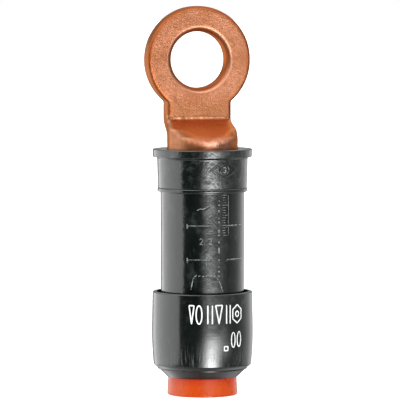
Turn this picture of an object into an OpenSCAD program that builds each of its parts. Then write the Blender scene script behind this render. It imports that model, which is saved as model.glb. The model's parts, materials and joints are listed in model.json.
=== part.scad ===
// Pre-insulated cable lug: a forged copper palm, friction welded to an aluminium
// barrel, inside a moulded insulating sleeve with a clip-on end cap.
// The lug stands on its entry plug. +Z runs along the barrel towards the palm,
// X is the palm's width, and the palm's back face looks along +Y.

/* [Palm] */
// Diameter of the bolt hole at its straight land
hole_d = 13.5; // [12.5:0.5:14.5]
// Height of the straight land in the middle of the bolt hole
hole_land = 1; // [0.8:0.1:2]
// Radius of the rolled rims on both sides of the land
hole_rim_r = 2; // [1.9:0.1:3]
// Outside diameter of the palm's ring
palm_d = 25.7; // [24.5:0.1:29]
// Thickness of the palm
palm_t = 4.6; // [3.6:0.1:4.8]
// How far the palm's front face lies behind the lug's axis
palm_setback = 2.4; // [1.6:0.1:3]
// Rounding of the ring's outer edges
palm_edge_r = 0.7; // [0.3:0.1:1.2]
// Width of the neck below the ring
neck_w = 16.1; // [14.5:0.1:17]
// Rounding of the neck's long edges
neck_edge_r = 0.9; // [0.4:0.1:1.4]
// Distance from the top of the shoulder to the centre of the bolt hole
neck_l = 14.3; // [12.5:0.1:20]

/* [Shank and shoulder] */
// How far the round shank stands out beyond the barrel at the weld
weld_step = 0.55; // [0.2:0.05:1]
// Length of the plain round shank, from the weld to the shoulder
shank_l = 9.4; // [9:0.1:12]
// Rounding of the shoulder's front edge
shoulder_edge_r = 2.5; // [1.8:0.1:3.2]
// Slope of the pressed facet between the front edge and the palm, in degrees
facet_slope = 23.2; // [20:0.2:28]
// Least corner radius along the facet's sides
facet_corner_r = 3; // [2:0.1:3.6]

/* [Barrel] */
// Outside diameter of the aluminium barrel
barrel_d = 16; // [15:0.1:17.5]
// Diameter of the cable bore
bore_d = 7; // [6:0.1:9]
// Length of the barrel, from its mouth to the weld
barrel_l = 38.4; // [34:0.2:44]
// Solid metal between the end of the bore and the weld
barrel_floor_t = 4; // [3:0.5:8]
// Chamfer at the mouth of the bore
bore_chamfer = 0.8; // [0.4:0.1:1.5]

/* [Insulating sleeve] */
// Wall thickness of the sleeve's tube round the barrel, at its open end
tube_wall = 1.95; // [1.5:0.05:2.5]
// Growth of the tube's diameter from its open end to the collar
tube_draft = 0.2; // [0:0.05:0.4]
// Wall thickness of the collar round the shank, under the flange
collar_wall = 2.3; // [2:0.1:3]
// Loss of the collar's diameter from the flange down to its bead
collar_draft = 0.4; // [0:0.1:0.6]
// Length of the collar, with its flange
collar_l = 10.3; // [9:0.1:11.5]
// How far the collar reaches down past the weld
collar_lap = 1.5; // [1:0.1:3]
// Height of the bead at the collar's lower edge
bead_h = 1; // [0.8:0.1:1.5]
// How far the bead stands out of the collar
bead_out = 0.13; // [0.08:0.01:0.3]
// How far the flange's edge stands in from the widest part of the cap
flange_inset = 0.2; // [0:0.05:0.5]
// Thickness of the flange
flange_t = 2; // [1.5:0.1:3]
// Rounding of the flange's edges
flange_edge_r = 0.45; // [0.2:0.05:0.7]
// Fillet under the flange
flange_fillet_r = 0.5; // [0.2:0.1:0.8]
// Depth of the cable entry, from the sleeve's open end to the barrel
entry_depth = 2; // [1:0.1:4]

/* [Crimp marks] */
// Distance from the collar down to the first crimp mark
mark_start = 7.8; // [4:0.1:10]
// Distance from one crimp mark to the next
mark_pitch = 8.1; // [6:0.1:9]
// Number of crimp marks along the tube
mark_count = 2; // [1:1:2]
// Width of a crimp mark
mark_w = 0.5; // [0.3:0.1:1]
// How far a crimp mark stands out of the tube
mark_out = 0.18; // [0.1:0.02:0.3]
// Length of a crimp mark, in degrees round the tube
mark_arc = 32; // [16:2:44]
// Angle from the mould's parting plane to the middle of a mark, in degrees
mark_offset = 27; // [24:1:60]
// Direction of the mould's parting plane, in degrees from +X
parting_angle = -83; // [-120:1:-60]

/* [End cap] */
// Wall thickness of the cap at its widest part
cap_wall = 2.1; // [1.8:0.1:3]
// Height of the cap
cap_h = 20.55; // [18:0.05:24]
// Loss of the cap's diameter at its open rim
cap_rim_draft = 0.3; // [0:0.1:0.6]
// Width of the cone at the cap's end, measured across its slope
cap_cone_w = 3.2; // [2.4:0.1:3.8]
// Loss of the cap's diameter at the edge above its cone
cap_shoulder_draft = 0.8; // [0.4:0.1:1.4]
// Height of the cone at the cap's end
cap_cone_h = 3.3; // [2.5:0.1:4.5]
// Height over which the wall draws in above the cone
cap_draw_h = 3; // [2:0.1:5]
// Thickness of the web at the cable entry
cap_web_t = 1.6; // [1.2:0.1:2]
// Radius of the small bead half-way along the cone
cone_bead_r = 0.22; // [0.12:0.02:0.35]
// Wall thickness at the open rim
cap_rim_wall = 0.9; // [0.7:0.1:1.2]
// Rounding of the rim's outer edge
cap_rim_edge_r = 0.3; // [0.1:0.05:0.5]
// Depth of the widened mouth that guides the tube in
cap_mouth_h = 5; // [3:0.5:8]
// Height of the snap bead's middle above the tube's open end
snap_height = 2.4; // [2:0.1:4]
// Width of the snap bead
snap_w = 1.6; // [1.2:0.1:2.4]
// How far the snap bead stands out of the tube
snap_out = 0.45; // [0.3:0.05:0.7]

/* [Sealing ring] */
// Height of the sealing ring
seal_h = 4; // [3:0.1:6]
// Depth of the groove between the ring's two lips
seal_groove = 0.9; // [0.4:0.1:1.6]

/* [Entry plug] */
// Height of the plug's head
head_h = 4.4; // [3.5:0.1:7]
// How far the top of the head stands in from the edge of the cap's flat end
head_inset = 0.35; // [0.1:0.05:1]
// Growth of the head's diameter towards its flat end
head_draft = 0.4; // [0:0.1:1]
// Rounding of the head's lower edge
head_edge_r = 0.4; // [0.2:0.1:0.8]
// Diameter of the spigot that fills the cable entry
spigot_d = 10.4; // [9:0.1:11.5]
// Wall thickness of the hollow spigot
spigot_wall = 1.3; // [0.8:0.1:2]
// Thickness of the plug's closed end
plug_floor_t = 1.4; // [0.8:0.1:2.5]

/* [Fits] */
// Radial clearance between the sleeve and the metal inside it
sleeve_fit = 0.05; // [0.02:0.01:0.12]
// Radial clearance between the cap and the tube
cap_fit = 0.1; // [0.05:0.01:0.2]
// Radial clearance round the spigot and the sealing ring
seal_fit = 0.1; // [0.05:0.01:0.2]
// Gap between the end of the spigot and the barrel
spigot_gap = 0.3; // [0.1:0.1:1]

/* [Hidden] */
$fn = 96;
// Points along a corner of the shoulder's sections
corner_steps = 10;
// Sections round the shoulder's front edge and along the facet
edge_rings = 7;
facet_rings = 14;
// Least flat width that keeps two corners of a section apart
least_flat = 0.05;
// How far the shoulder lies inside the shank's round surface where they meet
shoulder_inset = 0.04;
// Overlap that lets a cut pass right through a face
over = 1;

hole_r = hole_d / 2;
palm_r = palm_d / 2;
palm_back = palm_setback + palm_t;
bore_r = bore_d / 2;
barrel_r = barrel_d / 2;
shank_r = barrel_r + weld_step;
bar_r = shank_r - shoulder_inset;
sleeve_bore_r = barrel_r + sleeve_fit;
sleeve_shank_r = shank_r + sleeve_fit;
tube_r = sleeve_bore_r + tube_wall;
collar_r = sleeve_shank_r + collar_wall;
cap_bore_r = tube_r + cap_fit;
cap_r = cap_bore_r + cap_wall;
cap_rim_r = cap_r - cap_rim_draft / 2;
cap_shoulder_r = cap_r - cap_shoulder_draft / 2;
cap_end_r = cap_shoulder_r - cap_cone_w;
flange_r = cap_r - flange_inset;
spigot_r = spigot_d / 2;
entry_r = spigot_r + seal_fit;
head_top_r = cap_end_r - head_inset;
head_foot_r = head_top_r + head_draft / 2;

// Shape of the shoulder's front, seen from the side
edge_top_y = -bar_r + shoulder_edge_r * (1 - sin(facet_slope));
edge_top_z = shoulder_edge_r * cos(facet_slope);
shoulder_h = edge_top_z + (palm_setback - edge_top_y) * tan(facet_slope);

// Heights above the plug's flat end
cap_z = head_h;
seal_z = cap_z + cap_web_t;
sleeve_z = seal_z + seal_h;
barrel_z = sleeve_z + entry_depth;
weld_z = barrel_z + barrel_l;
step_z = weld_z - collar_lap;
flange_top_z = step_z + collar_l;
shoulder_z = weld_z + shank_l;
neck_z = shoulder_z + shoulder_h;
hole_z = neck_z + neck_l;
snap_z = sleeve_z + snap_height;
cap_top_z = cap_z + cap_h;

function mix(a, b, t) = a + (b - a) * t;
function smooth(t) = t * t * (3 - 2 * t);
function arc(cx, cy, r, from, to, first, last) =
    [for (i = [first:last])
        let (a = mix(from, to, i / corner_steps))
        [cx + r * cos(a), cy + r * sin(a)]];

// Round bar with its front pressed flat at y = front, its corners rounded by r
function bar_section(front, r) =
    let (cy = front + r)
    let (cx = max(least_flat, sqrt(max(0, pow(bar_r - r, 2) - cy * cy))))
    let (turn = atan2(cy, cx))
    let (crown = 90 / (corner_steps + 1))
    concat(
        arc(0, 0, bar_r, turn, 90 - crown / 2, 0, corner_steps),
        arc(0, 0, bar_r, 90 + crown / 2, 180 - turn, 0, corner_steps),
        arc(-cx, cy, r, 180 - turn, 270, 1, corner_steps),
        arc(cx, cy, r, 270, 360 + turn, 0, corner_steps - 1));

// Flat bar as wide as the neck, from y = front to the palm's back face
function flat_section(front, r) =
    let (x_front = neck_w / 2 - r)
    let (x_back = neck_w / 2 - neck_edge_r)
    let (y_back = palm_back - neck_edge_r)
    concat(
        arc(x_back, y_back, neck_edge_r, 0, 90, 0, corner_steps),
        arc(-x_back, y_back, neck_edge_r, 90, 180, 0, corner_steps),
        arc(-x_front, front + r, r, 180, 270, 1, corner_steps),
        arc(x_front, front + r, r, 270, 360, 0, corner_steps - 1));

// A section of the shoulder: its height, its front, its corners and how flat it is
function shoulder_section(z, front, r, flatness) =
    let (round = bar_section(front, r))
    let (flat = flat_section(front, r))
    [for (i = [0:len(round) - 1])
        let (p = mix(round[i], flat[i], flatness))
        [p[0], p[1], shoulder_z + z]];

// Corner radius of the bar's section once its front is pressed back to y = front
function pressed_corner(front) = min(bar_r - least_flat, max(facet_corner_r, -front));

// Sections round the front edge and up the facet to the palm
shoulder_sections = concat(
    [for (i = [0:edge_rings - 1])
        let (a = (90 - facet_slope) * i / edge_rings)
        let (front = -bar_r + shoulder_edge_r * (1 - cos(a)))
        shoulder_section(shoulder_edge_r * sin(a), front, pressed_corner(front), 0)],
    [for (i = [0:facet_rings])
        let (t = i / facet_rings)
        let (front = mix(edge_top_y, palm_setback, t))
        let (r = mix(pressed_corner(front), neck_edge_r, pow(t, 3)))
        shoulder_section(mix(edge_top_z, shoulder_h, t), front, r, smooth(t))]);

// Closed solid through a list of sections that have the same number of points
module loft(sections) {
    n = len(sections[0]);
    rows = len(sections);
    walls = [for (k = [0:rows - 2]) for (i = [0:n - 1])
        let (a = k * n + i)
        let (b = k * n + (i + 1) % n)
        for (face = [[a, a + n, b + n], [a, b + n, b]]) face];
    bottom = [for (i = [0:n - 1]) i];
    top = [for (i = [n - 1:-1:0]) (rows - 1) * n + i];
    polyhedron([for (s = sections) for (p = s) p], concat(walls, [bottom, top]));
}

// Rectangle from r_in to r_out and z_low to z_high, its outer corners rounded by e
module rounded_band(r_in, r_out, z_low, z_high, e) {
    translate([r_in, z_low]) square([r_out - e - r_in, z_high - z_low]);
    translate([r_in, z_low + e]) square([r_out - r_in, z_high - z_low - 2 * e]);
    translate([r_out - e, z_low + e]) circle(e);
    translate([r_out - e, z_high - e]) circle(e);
}

// What a rounding of radius e takes off the corner at (r, z), above or below it
module corner_waste(r, z, e, above) {
    difference() {
        translate([r - e, above ? z - e : z - over]) square(e + over);
        translate([r - e, above ? z - e : z + e]) circle(e);
    }
}

// Half of the ring's section: rounded outer edge, rolled rim and half the land
module ring_half() {
    difference() {
        translate([hole_r, 0]) square([palm_r - hole_r, palm_t / 2]);
        corner_waste(palm_r, palm_t / 2, palm_edge_r, true);
        difference() {
            translate([hole_r - over, hole_land / 2]) square([hole_rim_r + over, palm_t]);
            translate([hole_r + hole_rim_r, hole_land / 2]) circle(hole_rim_r);
        }
    }
}

// Ring with its bolt hole, lying in the plane of the palm
module palm_ring() {
    translate([0, palm_setback + palm_t / 2, hole_z])
        rotate([90, 0, 0])
            rotate_extrude() {
                ring_half();
                mirror([0, 1]) ring_half();
            }
}

// Copper terminal: round shank, shoulder, neck and palm, forged from one bar
module copper_palm() {
    rim_w = hole_rim_r - sqrt(pow(hole_rim_r, 2) - pow((palm_t - hole_land) / 2, 2));
    // The neck runs into the flat of the ring and ends half-way across it
    neck_top_z = hole_z - (hole_r + rim_w + palm_r - palm_edge_r) / 2;
    color([0.80, 0.50, 0.34]) {
        palm_ring();
        translate([0, 0, neck_z])
            linear_extrude(neck_top_z - neck_z)
                polygon(flat_section(palm_setback, neck_edge_r));
        loft(shoulder_sections);
        translate([0, 0, weld_z]) cylinder(r = shank_r, h = shank_l);
    }
}

// Aluminium barrel with a blind cable bore, welded end to end to the shank
module aluminium_barrel() {
    bore_end_z = weld_z - barrel_floor_t;
    drill_tip_h = bore_r * tan(30);
    color([0.78, 0.79, 0.80])
        rotate_extrude()
            polygon([
                [bore_r + bore_chamfer, barrel_z], [barrel_r, barrel_z],
                [barrel_r, weld_z], [0, weld_z],
                [0, bore_end_z], [bore_r, bore_end_z - drill_tip_h],
                [bore_r, barrel_z + bore_chamfer]]);
}

// One ridge that shows where the crimping die goes
module crimp_mark(z, angle) {
    r = tube_r + mix(0, tube_draft / 2, (z - sleeve_z) / (step_z - sleeve_z));
    rotate([0, 0, angle - mark_arc / 2])
        rotate_extrude(angle = mark_arc)
            translate([r - 2 * mark_out, z - mark_w / 2])
                square([3 * mark_out, mark_w]);
}

// Moulded insulation over the barrel, with a flanged collar round the shank
module insulating_sleeve() {
    color([0.10, 0.11, 0.11]) {
        rotate_extrude()
            difference() {
                union() {
                    polygon([
                        [sleeve_bore_r, sleeve_z], [tube_r, sleeve_z],
                        [tube_r + tube_draft / 2, step_z + over], [sleeve_bore_r, step_z + over]]);
                    polygon([
                        [sleeve_bore_r, step_z], [collar_r - collar_draft / 2, step_z],
                        [collar_r, flange_top_z - flange_t / 2], [sleeve_bore_r, flange_top_z - flange_t / 2]]);
                    rounded_band(sleeve_bore_r, collar_r - collar_draft / 2 + bead_out,
                        step_z, step_z + bead_h, bead_h / 3);
                    rounded_band(sleeve_bore_r, flange_r,
                        flange_top_z - flange_t, flange_top_z, flange_edge_r);
                    difference() {
                        translate([sleeve_bore_r, flange_top_z - flange_t - flange_fillet_r])
                            square([collar_r + flange_fillet_r - sleeve_bore_r, flange_fillet_r + flange_t / 2]);
                        translate([collar_r + flange_fillet_r, flange_top_z - flange_t - flange_fillet_r])
                            circle(flange_fillet_r);
                    }
                    rounded_band(sleeve_bore_r, tube_r + snap_out,
                        snap_z - snap_w / 2, snap_z + snap_w / 2, snap_out);
                }
                translate([0, weld_z]) square([sleeve_shank_r, collar_l]);
            }
        for (i = [0:mark_count - 1])
            for (half = [0, 180])
                for (side = [-1, 1])
                    crimp_mark(step_z - mark_start - i * mark_pitch, parting_angle + half + side * mark_offset);
    }
}

// Outer shape of the cap: a drawn-in wall above a cone with a small bead
module cap_outline() {
    cone_top_z = cap_z + cap_cone_h;
    draw_z = cone_top_z + cap_draw_h;
    draw_in = cap_r - cap_shoulder_r;
    // Radius of an arc that leaves the wall upright and ends at the cone's edge
    draw_r = (pow(cap_draw_h, 2) + pow(draw_in, 2)) / (2 * draw_in);
    polygon([
        [0, cap_z], [cap_end_r, cap_z], [cap_shoulder_r, cone_top_z],
        [cap_shoulder_r, draw_z], [0, draw_z]]);
    intersection() {
        translate([0, cone_top_z]) square([cap_r, cap_draw_h]);
        translate([cap_r - draw_r, draw_z]) circle(draw_r);
    }
    difference() {
        polygon([
            [0, draw_z], [cap_r, draw_z], [cap_rim_r, cap_top_z - cap_rim_edge_r],
            [cap_rim_r, cap_top_z], [0, cap_top_z]]);
        corner_waste(cap_rim_r, cap_top_z, cap_rim_edge_r, true);
    }
    translate([(cap_end_r + cap_shoulder_r) / 2, (cap_z + cone_top_z) / 2]) circle(cone_bead_r);
}

// Cap that snaps over the tube and holds the sealing ring against its end
module end_cap() {
    mouth_r = cap_rim_r - cap_rim_wall;
    groove_h = snap_w + 2 * cap_fit;
    color([0.09, 0.10, 0.10])
        rotate_extrude()
            difference() {
                cap_outline();
                translate([0, cap_z - over]) square([entry_r, cap_web_t + 2 * over]);
                translate([0, seal_z]) square([cap_bore_r, cap_h]);
                translate([0, snap_z - groove_h / 2]) square([cap_bore_r + snap_out, groove_h]);
                translate([0, cap_top_z - cap_mouth_h]) square([mouth_r, cap_mouth_h + over]);
            }
}

// Rubber ring with two lips that grip what passes through the cable entry
module sealing_ring() {
    color([0.25, 0.25, 0.26])
        rotate_extrude()
            difference() {
                translate([entry_r, seal_z]) square([cap_bore_r - seal_fit - entry_r, seal_h]);
                translate([entry_r, seal_z + seal_h / 2]) circle(seal_groove);
            }
}

// Stopper that closes the cable entry until the lug is used
module entry_plug() {
    color([0.93, 0.36, 0.13])
        rotate_extrude()
            difference() {
                union() {
                    polygon([
                        [0, 0], [head_foot_r, 0], [head_foot_r, head_edge_r],
                        [head_top_r, head_h], [0, head_h]]);
                    translate([0, head_h / 2])
                        square([spigot_r, barrel_z - spigot_gap - head_h / 2]);
                }
                translate([0, plug_floor_t]) square([spigot_r - spigot_wall, barrel_z]);
                corner_waste(head_foot_r, 0, head_edge_r, false);
            }
}

copper_palm();
aluminium_barrel();
insulating_sleeve();
end_cap();
sealing_ring();
entry_plug();
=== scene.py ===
import json
import math

import bmesh
import bpy
import numpy as np
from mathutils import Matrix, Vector, noise


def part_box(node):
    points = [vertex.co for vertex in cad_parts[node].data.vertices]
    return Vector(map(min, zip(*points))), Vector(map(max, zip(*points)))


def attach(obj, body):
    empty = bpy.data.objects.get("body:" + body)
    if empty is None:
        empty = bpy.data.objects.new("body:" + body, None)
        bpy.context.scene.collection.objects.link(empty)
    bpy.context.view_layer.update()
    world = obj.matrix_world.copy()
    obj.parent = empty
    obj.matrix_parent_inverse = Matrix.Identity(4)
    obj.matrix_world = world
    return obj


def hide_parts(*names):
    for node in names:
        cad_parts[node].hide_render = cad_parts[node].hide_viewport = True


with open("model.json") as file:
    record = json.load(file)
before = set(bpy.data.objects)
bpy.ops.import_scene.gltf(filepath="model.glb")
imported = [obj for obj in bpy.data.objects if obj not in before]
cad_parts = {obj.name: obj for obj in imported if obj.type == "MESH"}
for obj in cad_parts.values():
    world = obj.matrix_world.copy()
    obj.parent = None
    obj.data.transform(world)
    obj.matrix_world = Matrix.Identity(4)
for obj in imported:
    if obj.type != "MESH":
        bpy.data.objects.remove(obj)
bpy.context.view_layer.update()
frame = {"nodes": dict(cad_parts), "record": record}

MM = 0.001


# ---- Copper terminal ---------------------------------------------------------
# One forging of electrolytic copper: round shank, pressed shoulder, flat palm
# with a punched bolt hole. It was tumbled after forging, which left a satin skin
# with small nicks, rolled edges and a thin burr along the top of the facet.

def new_material(name):
    """An empty node material with its shader."""
    made = bpy.data.materials.new(name)
    made.use_nodes = True
    tree = made.node_tree
    return made, tree, tree.nodes["Principled BSDF"]


def feed(tree, socket, value):
    """A value or another node's output given to a socket."""
    if isinstance(value, bpy.types.NodeSocket):
        tree.links.new(value, socket)
    else:
        socket.default_value = value


def add_node(tree, kind, settings=None, inputs=None):
    """A node with its settings, and its inputs by name or by number."""
    node = tree.nodes.new(kind)
    for key, value in (settings or {}).items():
        setattr(node, key, value)
    for key, value in (inputs or {}).items():
        feed(tree, node.inputs[key], value)
    return node


def object_place(tree, stretch=(1, 1, 1)):
    """Object coordinates, stretched to draw a pattern out along an axis."""
    place = add_node(tree, "ShaderNodeTexCoord")
    return add_node(tree, "ShaderNodeMapping", None,
                    {"Vector": place.outputs["Object"], "Scale": stretch}).outputs["Vector"]


def speckle(tree, place, scale, detail=3.0, roughness=0.55):
    """Noise between 0 and 1 with so many cells to the metre."""
    return add_node(tree, "ShaderNodeTexNoise", None,
                    {"Vector": place, "Scale": scale, "Detail": detail,
                     "Roughness": roughness}).outputs["Fac"]


def ramp(tree, value, low, high, low_to=0.0, high_to=1.0):
    """A value between low and high brought to the range low_to to high_to."""
    return add_node(tree, "ShaderNodeMapRange", {"clamp": True},
                    {"Value": value, "From Min": low, "From Max": high,
                     "To Min": low_to, "To Max": high_to}).outputs["Result"]


def blend_colour(tree, share, first, second):
    """Two colours mixed by a share."""
    return add_node(tree, "ShaderNodeMix", {"data_type": "RGBA"},
                    {0: share, 6: first, 7: second}).outputs[2]


def sum_of(tree, operation, first, second=0.0):
    """One sum on two values."""
    return add_node(tree, "ShaderNodeMath", {"operation": operation},
                    {0: first, 1: second}).outputs[0]


def add_bump(tree, shader, height, distance, strength=1.0):
    """A height pattern, in metres, laid on the shader's normal."""
    made = add_node(tree, "ShaderNodeBump", None,
                    {"Height": height, "Distance": distance, "Strength": strength})
    tree.links.new(made.outputs["Normal"], shader.inputs["Normal"])


def mesh_object(name, mesh, material):
    """A mesh shown as an object at the origin."""
    made = bpy.data.objects.new(name, mesh)
    bpy.context.scene.collection.objects.link(made)
    mesh.materials.clear()
    mesh.materials.append(material)
    return made


def plain_copy(made):
    """The object's modifiers turned into a plain mesh and then removed."""
    graph = bpy.context.evaluated_depsgraph_get()
    mesh = bpy.data.meshes.new_from_object(made.evaluated_get(graph), depsgraph=graph)
    made.modifiers.clear()
    made.data = mesh
    return made


def tidy_mesh(mesh, merge=1e-7):
    """Doubles merged, then every face turned outwards."""
    shell = bmesh.new()
    shell.from_mesh(mesh)
    bmesh.ops.remove_doubles(shell, verts=shell.verts, dist=merge)
    bmesh.ops.recalc_face_normals(shell, faces=shell.faces)
    shell.to_mesh(mesh)
    shell.free()


def z_part(tree, place):
    """The Z part of a place or of a direction."""
    return add_node(tree, "ShaderNodeSeparateXYZ", None, {"Vector": place}).outputs["Z"]


def painted(tree, name):
    """A number that the mesh carries at its vertices."""
    return add_node(tree, "ShaderNodeAttribute", {"attribute_name": name}).outputs["Fac"]


def copper_skin():
    made, tree, shader = new_material("tumbled_copper")
    place = object_place(tree)
    cloud = speckle(tree, place, 170.0, 4.0)
    grain = speckle(tree, place, 2900.0, 3.0, 0.6)
    grit = speckle(tree, place, 900.0, 2.0)
    warm = blend_colour(tree, ramp(tree, cloud, 0.35, 0.65), (0.285, 0.110, 0.055, 1), (0.380, 0.165, 0.095, 1))
    aged = blend_colour(tree, ramp(tree, grit, 0.52, 0.72, 0.0, 0.55), warm, (0.245, 0.097, 0.038, 1))
    # Darker brown streaks towards the bottom of the neck, drawn out upright
    streak = speckle(tree, object_place(tree, (1, 1, 0.15)), 1500.0, 2.0)
    low_neck = ramp(tree, z_part(tree, place), hole_z - 12.5 * MM, hole_z - 8.5 * MM, 0.75, 0.0)
    darker_low_neck = sum_of(tree, "MULTIPLY", low_neck, ramp(tree, streak, 0.35, 0.65, 0.35, 1.0))
    streaked = blend_colour(tree, darker_low_neck, aged, (0.225, 0.087, 0.030, 1))
    dotted = blend_colour(tree, ramp(tree, grain, 0.42, 0.62, 0.0, 0.6), streaked, (0.200, 0.075, 0.030, 1))
    # Painted shade: darker brown in the bore, on the fold under the facet and along the rim's edges
    brown = blend_colour(tree, painted(tree, "painted_shade"), dotted, (0.34, 0.094, 0.028, 1))
    # Painted reflection: the pressed facet painted a brighter, redder copper
    deep = blend_colour(tree, painted(tree, "pressed"), brown, (0.66, 0.205, 0.068, 1))
    # Worn edges, with a painted highlight along the burr and painted light on the lit flanks
    worn_and_lit_share = ramp(tree, painted(tree, "wear_and_painted_light"), 0.25, 0.9, 0.0, 0.7)
    worn_and_lit = blend_colour(tree, worn_and_lit_share, deep, (0.86, 0.42, 0.27, 1))
    # The burnished patch at the foot: smoother, with a painted highlight in its colour
    burnish_highlight = painted(tree, "burnish_and_highlight")
    painted_highlight_patches = sum_of(tree, "MULTIPLY", burnish_highlight, ramp(tree, grit, 0.40, 0.58, 0.45, 1.0))
    bright = blend_colour(tree, painted_highlight_patches, worn_and_lit, (0.82, 0.41, 0.29, 1))
    tree.links.new(bright, shader.inputs["Base Color"])
    shader.inputs["Metallic"].default_value = 1.0
    shader.inputs["Specular Tint"].default_value = (0.80, 0.58, 0.46, 1)
    dull = ramp(tree, grit, 0.3, 0.7, 0.38, 0.46)
    shine = sum_of(tree, "SUBTRACT", dull, sum_of(tree, "MULTIPLY", burnish_highlight, 0.14))
    tree.links.new(shine, shader.inputs["Roughness"])
    height = sum_of(tree, "ADD", grain, sum_of(tree, "MULTIPLY", grit, 0.8))
    add_bump(tree, shader, height, 0.00006, 0.9)
    return made


def vertex_array(mesh):
    """The mesh's vertices as rows of an array."""
    points = np.empty(len(mesh.vertices) * 3)
    mesh.vertices.foreach_get("co", points)
    return points.reshape(-1, 3)


def neighbour_mean(values, ends):
    """For every vertex the mean of what its neighbours hold."""
    total = np.zeros_like(values)
    count = np.zeros(len(values))
    for a, b in ((0, 1), (1, 0)):
        np.add.at(total, ends[:, a], values[ends[:, b]])
        np.add.at(count, ends[:, a], 1)
    return total / np.maximum(count, 1)[:, None]


def point_attribute(mesh, name, values):
    """A number for every vertex, for the material to read."""
    layer = mesh.attributes.new(name, "FLOAT", "POINT")
    layer.data.foreach_set("value", values.astype(np.float32))


def soften(values, ends, rounds):
    """Every vertex's values moved halfway to its neighbours' mean, so many times."""
    for step in range(rounds):
        values = values + 0.5 * (neighbour_mean(values, ends) - values)
    return values


def band(values, start, width):
    """Values brought to 0 below the start and to 1 from so far above it."""
    return np.clip((values - start) / width, 0, 1)


mounts = {m["name"]: Vector(m["pos_m"]) for m in frame["record"]["mounts"]}
hole_z = mounts["palm_hole"].z
facet_top_z = hole_z - 14.3 * MM
shank_top_z = 59.8 * MM
shank_r = 8.55 * MM
shoulder_rise = 6.0 * MM
shoulder_inset = 0.04 * MM
copper = mesh_object("copper_terminal", frame["nodes"]["copper_palm"].data.copy(), copper_skin())
tidy_mesh(copper.data, 1e-6)

# The shoulder's small inset in the solid is eased out, and one skin laid over the forging
points = vertex_array(copper.data)
above_shank = points[:, 2] - shank_top_z
on_shoulder = (above_shank > -1e-6) & (above_shank < shoulder_rise)
on_shoulder &= np.hypot(points[:, 0], points[:, 1]) < shank_r - 0.5 * shoulder_inset
eased = (1 - band(above_shank, 0, shoulder_rise)) * shoulder_inset / (shank_r - shoulder_inset)
points[:, :2] *= np.where(on_shoulder, 1 + eased, 1)[:, None]
copper.data.vertices.foreach_set("co", points.ravel())
skin = copper.modifiers.new("skin", "REMESH")
skin.mode = "VOXEL"
skin.voxel_size = 0.19 * MM
skin.use_smooth_shade = True
plain_copy(copper)

# Edges rolled over by the tumbling; where the skin bulges it is worn
ends = np.empty(len(copper.data.edges) * 2, dtype=np.int64)
copper.data.edges.foreach_get("vertices", ends)
ends = ends.reshape(-1, 2)
points = soften(vertex_array(copper.data), ends, 9)
copper.data.vertices.foreach_set("co", points.ravel())
copper.data.update()
normals = np.array([n.vector[:] for n in copper.data.vertex_normals])
bulge = ((points - neighbour_mean(points, ends)) * normals).sum(1)[:, None]
wear_and_painted_light = band(soften(bulge, ends, 3)[:, 0], 0, 0.008 * MM)

# Gentle waves of the forging, a burr along the facet's top and a few nicks
waves = np.array([noise.noise(Vector(p) * 260.0) for p in points])
ripple = np.array([noise.noise(Vector(p) * 1500.0) for p in points])
lift = 0.035 * MM * waves + 0.008 * MM * ripple
broken = np.array([noise.noise(Vector((p[0] * 900.0, 7.0, 3.0))) for p in points])
burr = np.exp(-((points[:, 2] - facet_top_z - 0.3 * MM) / (0.22 * MM)) ** 2)
burr *= np.clip(0.65 + 0.9 * broken, 0.1, 1.2)
burr *= (normals[:, 1] < -0.3) & (np.abs(points[:, 0]) < 6.4 * MM)
lift += 0.20 * MM * burr
# The burr's painted highlight joins the worn edges' colour
wear_and_painted_light = np.clip(wear_and_painted_light + burr, 0, 1)
copper_nicks = [(1.4, -22.0, 0.35, 0.07), (-3.4, -17.2, 0.25, 0.05), (3.6, -15.9, 0.25, 0.05),
                (5.1, 9.2, 0.3, 0.06), (4.4, 12.2, 0.5, 0.10), (7.6, 3.4, 0.35, 0.08),
                (7.9, 1.6, 0.3, 0.07), (7.7, 0.2, 0.35, 0.07), (8.9, -1.5, 0.6, 0.05),
                (-5.6, -9.4, 0.5, 0.06), (1.9, -18.6, 0.3, 0.06), (-8.8, 4.0, 0.4, 0.04)]
for right, up, size, depth in copper_nicks:
    away = np.hypot(points[:, 0] - right * MM, points[:, 2] - hole_z - up * MM) / (size * MM)
    lift -= np.where(normals[:, 1] < -0.5, 0.6 * depth * MM * np.exp(-away ** 2), 0)
points += normals * lift[:, None]
copper_low, copper_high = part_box("copper_palm")
points = np.clip(points, np.array(copper_low[:]), np.array(copper_high[:]))
copper.data.vertices.foreach_set("co", points.ravel())
copper.data.update()

# What the skin carries for its material: the pressed facet's painted reflection, painted shade in the bore,
# on the fold and on the rim, worn edges and flanks with painted highlight and light, and a burnished patch at
# the foot with a painted highlight
across = points[:, 0] / MM
from_hole = np.hypot(points[:, 0], points[:, 2] - hole_z) / MM
above_shank = points[:, 2] - shank_top_z
below_facet = points[:, 2] < facet_top_z
normal_y = normals[:, 1]
# The facet's share of the painted reflection: upward-facing skin between shank and burr
pressed = np.where((above_shank > 1.2 * MM) & below_facet, band(normals[:, 2], 0.74, 0.14), 0)
bore = (from_hole < 7.5) & (np.abs(normal_y) < 0.8)
fold = below_facet & (normal_y < -0.1) & (pressed < 0.5)
rim = (from_hole > 10.5) & (points[:, 2] > facet_top_z + 0.9 * MM)
# The fold's upper right strip is lit, so it gets painted light there rather than painted shade
lit_right_strip = np.where(above_shank > 2.6 * MM, band(across, 6.0, 0.8), 0)
# Painted shade, darker brown: on the fold, fading out to the left and on the lit right strip, in the bore and
# on the rim's edges
fold_shade = 0.8 * band(across, -6.5, 4) * (1 - lit_right_strip)
painted_shade = np.where(fold, fold_shade, np.where(bore, 0.9, np.where(rim, wear_and_painted_light, 0)))
wear_and_painted_light = np.where(rim, 0.15 * wear_and_painted_light, wear_and_painted_light)
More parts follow.
